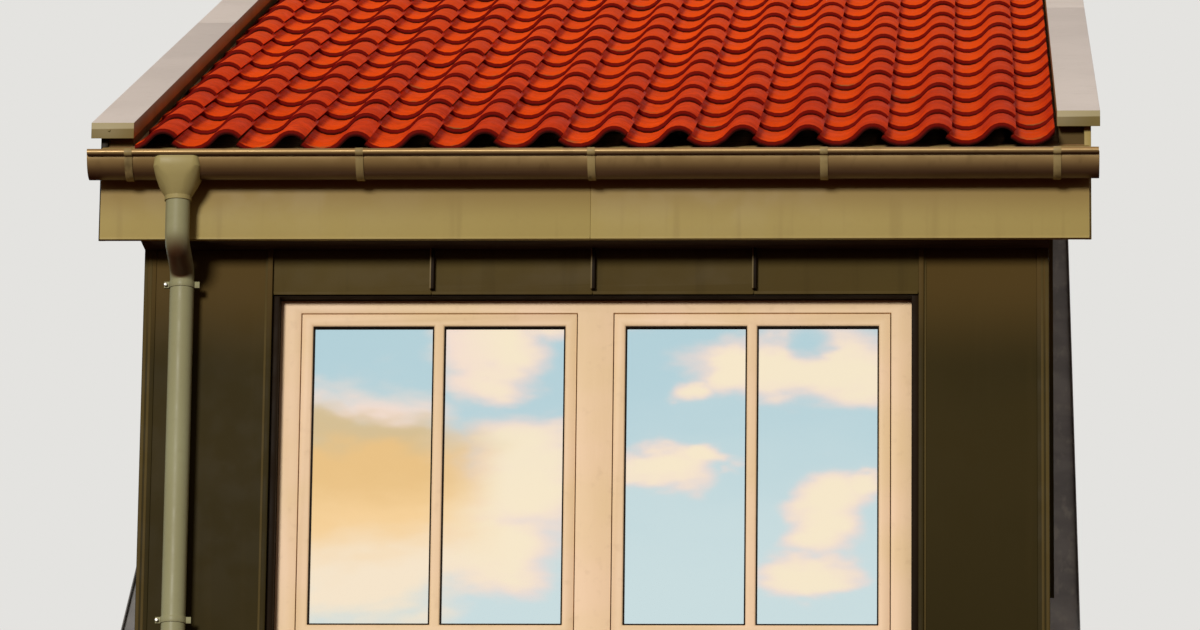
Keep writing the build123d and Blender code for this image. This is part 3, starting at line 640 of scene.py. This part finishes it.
# Painted shade: the fascia darkens towards the top, under the gutter.
coloured(tree, mixed(tree, ramp(tree, placed(tree)["Z"], 1.59, 1.72), colour, tint(148, 124, 74)))
eased("fascia_left", 0.002, fascia_coat, "khaki_sheet")
eased("fascia_right", 0.002, fascia_coat, "khaki_sheet")
fascia_face = -0.248
fascia_foot = 1.547
fascia_joint = -0.008
fascia_end = 1.542
hems = []
for start, end in ((-fascia_end, fascia_joint - 0.001), (fascia_joint + 0.001, fascia_end)):
    low = (start, fascia_face - 0.0018, fascia_foot)
    high = (end, fascia_face + 0.001, fascia_foot + 0.007)
    hems.append(strip(low, high, 0.0009))
ridden(joined("fascia_hems", hems), fascia_coat, "khaki_sheet")


# Gutter: one half-round length of sheet rolled into a bead at its front edge,
# hung in five straps, with a stop end at each side and an outlet bowl.
gutter_y = -0.321
gutter_rim = 1.789
gutter_radius = 0.068
gutter_end = 1.570
gutter_sheet = 0.0015
back_rise = 0.010
bead_radius = 0.009
outlet_x = -1.291
outlet_hole = 0.042

back_edge = (0, gutter_y + gutter_radius, gutter_rim + back_rise)
bpy.ops.mesh.primitive_plane_add(size=2 * gutter_end, location=back_edge)
trough = bpy.context.object
trough.name = "gutter_trough"
bpy.ops.object.transform_apply()
mark(trough, lambda co: co.y > gutter_y)
bpy.ops.mesh.delete(type="VERT")
bpy.ops.mesh.select_all(action="SELECT")
bpy.ops.transform.translate(value=(0, gutter_end, 0))
bpy.ops.mesh.extrude_region_move(TRANSFORM_OT_translate={"value": (0, 0, -back_rise)})
bpy.ops.mesh.spin(steps=24, angle=math.pi, center=(0, gutter_y, gutter_rim), axis=(1, 0, 0))
bead_y = gutter_y - gutter_radius - bead_radius
bpy.ops.mesh.spin(steps=16, angle=math.radians(310), center=(0, bead_y, gutter_rim), axis=(-1, 0, 0))
bpy.ops.mesh.select_all(action="SELECT")
bpy.ops.mesh.remove_doubles(threshold=0.0001)
bpy.ops.mesh.normals_make_consistent(inside=False)
bpy.ops.object.mode_set(mode="OBJECT")
lowest = min(trough.data.polygons, key=lambda face: face.center.z)
if lowest.normal.z > 0:
    trough.data.flip_normals()
applied(trough, "SOLIDIFY", thickness=gutter_sheet, offset=-1.0)
hole_place = (outlet_x, gutter_y, gutter_rim - gutter_radius)
bpy.ops.mesh.primitive_cylinder_add(vertices=32, radius=outlet_hole, depth=0.08, location=hole_place)
cutter = bpy.context.object
applied(trough, "BOOLEAN", operation="DIFFERENCE", object=cutter, solver="EXACT")
bpy.data.objects.remove(cutter)
trough.select_set(True)
bpy.context.view_layer.objects.active = trough
bpy.ops.object.shade_smooth_by_angle(angle=math.radians(40))


def shaded_beneath(tree, colour, high, low, underside_shade):
    """Painted shade: darkens what faces down."""
    coloured(tree, mixed(tree, ramp(tree, faced(tree)["Z"], high, low), colour, underside_shade))


gutter_coat, tree, colour = coated_sheet(
    "gutter sheet", tint(160, 132, 86), tint(152, 124, 78), tint(112, 90, 56), 0.34, 0.3, 0.3, 0.35
)
# Painted shade: the gutter's lower half is darkened where it faces down.
shaded_beneath(tree, colour, -0.3, -0.98, tint(88, 60, 40))
strap_coat, *_ = coated_sheet(
    "strap sheet", tint(158, 138, 92), tint(146, 126, 82), tint(98, 82, 52), 0.45, 0.2, 0.9
)
pipe_coat, tree, colour = coated_sheet(
    "downpipe sheet", tint(153, 152, 116), tint(147, 144, 108), tint(118, 108, 74), 0.42, 0.15, 0.4
)
# Painted shade: the downpipe's neck is darkened where it faces down.
shaded_beneath(tree, colour, 0.0, -0.9, tint(84, 56, 36))
outlet_coat, *_ = coated_sheet(
    "outlet sheet", tint(171, 157, 103), tint(164, 150, 98), tint(130, 116, 72), 0.42, 0.15, 0.3
)
ridden(trough, gutter_coat, "khaki_sheet", "gutter_front", "gutter_floor", "gutter_back")
thin_edge = 0.0006
eased("gutter_stop_ends", thin_edge, gutter_coat, "khaki_sheet")
eased("gutter_straps", thin_edge, strap_coat, "khaki_sheet")
eased("gutter_outlet", thin_edge, outlet_coat, "khaki_sheet")
fitted(pipe_coat, "downpipe")
eased("pipe_clamps", 0.0005, pipe_coat, "khaki_sheet")

bolt_x = -1.341
bolt_y = -0.1655
bolts = []
for height in (0.3541, 1.4231):
    bpy.ops.mesh.primitive_cylinder_add(
        vertices=6, radius=0.0068, depth=0.006, location=(bolt_x, bolt_y, height), rotation=facing_front
    )
    bolt = bpy.context.object
    bpy.ops.object.transform_apply()
    applied(bolt, "BEVEL", width=0.0022, segments=3, limit_method="ANGLE")
    bpy.ops.object.shade_smooth_by_angle(angle=math.radians(40))
    bolts.append(bolt)
ridden(joined("clamp_bolts", bolts), zinc, "khaki_sheet")


# Cladding: flat pans of dark coated sheet joined by standing seams, with a
# folded trim at each corner and a hem along the foot of the header.
sheet_edge = 0.0015
fold_edge = 0.0004
header_face = -0.088
header_foot = 1.413
seams = (-1.010, -0.513, -0.008, 0.497, 1.010)
seam_front = -0.1125
seam_back = -0.0875
seam_foot = 1.423
seam_head = 1.552
wall_foot = 0.1035
wall_head = 1.5525

# Painted light: the header's sheet is paler than the pans below, standing in for the light it reflects. The
# folds beside the window share it.
header_coat, *_ = coated_sheet(
    "header sheet", tint(83, 69, 34), tint(79, 65, 32), tint(66, 54, 26), 0.55, 0.05, 0.3
)
for name in ("apron_cladding", "cladding_panel_left", "cladding_panel_right", "corner_trims",
             "cheek_cladding_left", "cheek_cladding_right", "sill_flashing"):
    eased(name, sheet_edge, dark, "dark_sheet")
# A near-black sheet on the window's reveal. It also paints the shadows beside the seams and the folds.
reveal_and_shadow_coat, *_ = coated_sheet(
    "reveal and painted shadow sheet", tint(34, 23, 11), tint(29, 20, 10), tint(40, 30, 16), 0.5, 0.03, 0.3
)
eased("window_reveal", sheet_edge, reveal_and_shadow_coat, "dark_sheet")
eased("header_cladding", sheet_edge, header_coat, "dark_sheet")
hems = []
for start, end in zip(seams, seams[1:]):
    low = (start + 0.001, header_face - 0.0025, header_foot - 0.005)
    high = (end - 0.001, header_face + 0.001, header_foot + 0.006)
    hems.append(strip(low, high, 0.0012))
ridden(joined("header_hems", hems), header_coat, "dark_sheet")
# Painted highlight and shadow: a pale strip on the left edge of each header seam, and a near-black strip to
# its right as its shadow.
seam_highlight_coat, *_ = coated_sheet(
    "seam highlight sheet", tint(122, 104, 68), tint(112, 96, 62), tint(92, 76, 46), 0.5, 0.1, 0.3
)
edges = []
shades = []
for seam in seams[1:-1]:
    low = (seam - 0.0045, seam_front, seam_foot)
    high = (seam - 0.0005, seam_back, seam_head)
    edges.append(strip(low, high, fold_edge))
    low = (seam - 0.0005, seam_front + 0.0005, seam_foot)
    high = (seam + 0.0085, seam_back, seam_head)
    shades.append(strip(low, high, fold_edge))
ridden(joined("header_seam_highlights", edges), seam_highlight_coat, "dark_sheet")


def seam_side_strips(name, spans, proud, finish):
    """Strips that run up the front beside a seam, the same on both sides: raised folds, or painted shadows
    in the grooves between them.
    """
    folds = []
    for inner, outer in spans:
        for start, end in ((inner, outer), (-outer, -inner)):
            low = (start, header_face - proud, wall_foot)
            high = (end, header_face + 0.001, wall_head)
            folds.append(strip(low, high, fold_edge))
    ridden(joined(name, folds), finish, "dark_sheet")


# Painted shadow: the near-black strips to the right of the header seams.
ridden(joined("header_seam_shadows", shades), reveal_and_shadow_coat, "dark_sheet")
seam_side_strips("seam_folds", ((1.0225, 1.0355), (1.3925, 1.4005), (1.4065, 1.4165)), 0.004, header_coat)
# Painted shadow: near-black strips in the grooves beside the folds.
seam_side_strips("seam_groove_shadows", ((1.0135, 1.0225), (1.3835, 1.3925), (1.4005, 1.4065)), 0.0008, reveal_and_shadow_coat)


# Window: softwood frame and casements painted cream, with glazing bars. Each
# sheet of glass is held by a dark rubber gasket.
cream, tree = new_finish("cream paint")
colour = mixed(tree, spotted(tree, 3.0, 0.35, 0.65), tint(238, 206, 170), tint(232, 202, 158))
grime = figured(tree, "MULTIPLY", spotted(tree, 30.0, 0.55, 0.8, detail=6.0), 0.25)
colour = mixed(tree, grime, colour, tint(196, 164, 128))
surface(tree, colour, 0.42, 0.15)
bumped(tree, spotted(tree, 60.0, 0.3, 0.7, (1.0, 1.0, 0.1)), 0.0001)
for name in ("window_frame", "casement_left", "casement_right"):
    eased(name, 0.002, cream, "window_paint")

rubber, tree = new_finish("gasket rubber")
surface(tree, mixed(tree, spotted(tree, 40.0, 0.3, 0.7), tint(36, 24, 14), tint(28, 19, 11)), 0.6, 0.03)
glass_face = -0.010
splay_cover = 0.003
glass_foot = 0.370
glass_head = 1.319
gasket_width = 0.005
gasket_depth = 0.013
glass_height = glass_head - glass_foot
gaskets = []
for start, end in ((-0.885, -0.5095), (-0.4725, -0.097), (0.097, 0.4725), (0.5095, 0.885)):
    middle = ((start + end) / 2, glass_face - 0.0002, (glass_foot + glass_head) / 2)
    bpy.ops.mesh.primitive_plane_add(size=1, location=middle, rotation=facing_front)
    gasket = bpy.context.object
    bpy.ops.object.mode_set(mode="EDIT")
    bpy.ops.mesh.select_all(action="SELECT")
    bpy.ops.transform.resize(value=(end - start + 2 * splay_cover, 1, glass_height + 2 * splay_cover))
    bpy.ops.mesh.select_mode(type="FACE")
    bpy.ops.mesh.inset(thickness=gasket_width)
    bpy.ops.mesh.delete(type="FACE")
    bpy.ops.object.mode_set(mode="OBJECT")
    bpy.ops.object.transform_apply()
    if gasket.data.polygons[0].normal.y > 0:
        gasket.data.flip_normals()
    applied(gasket, "SOLIDIFY", thickness=gasket_depth, offset=1.0)
    applied(gasket, "BEVEL", width=0.0012, segments=2, limit_method="ANGLE")
    bpy.ops.object.shade_smooth_by_angle(angle=math.radians(40))
    gaskets.append(gasket)
ridden(joined("glazing_gaskets", gaskets), rubber, "window_paint")

glass, tree = new_finish("glass")
colour = mixed(tree, spotted(tree, 1.4, 0.3, 0.7), (0.92, 0.945, 0.95, 1.0), (0.94, 0.955, 0.95, 1.0))
surface(tree, colour, 0.01, 0.5, 0.95)
bumped(tree, spotted(tree, 2.2, 0.2, 0.8, detail=0.0), 0.00008)
fitted(glass, "panes")
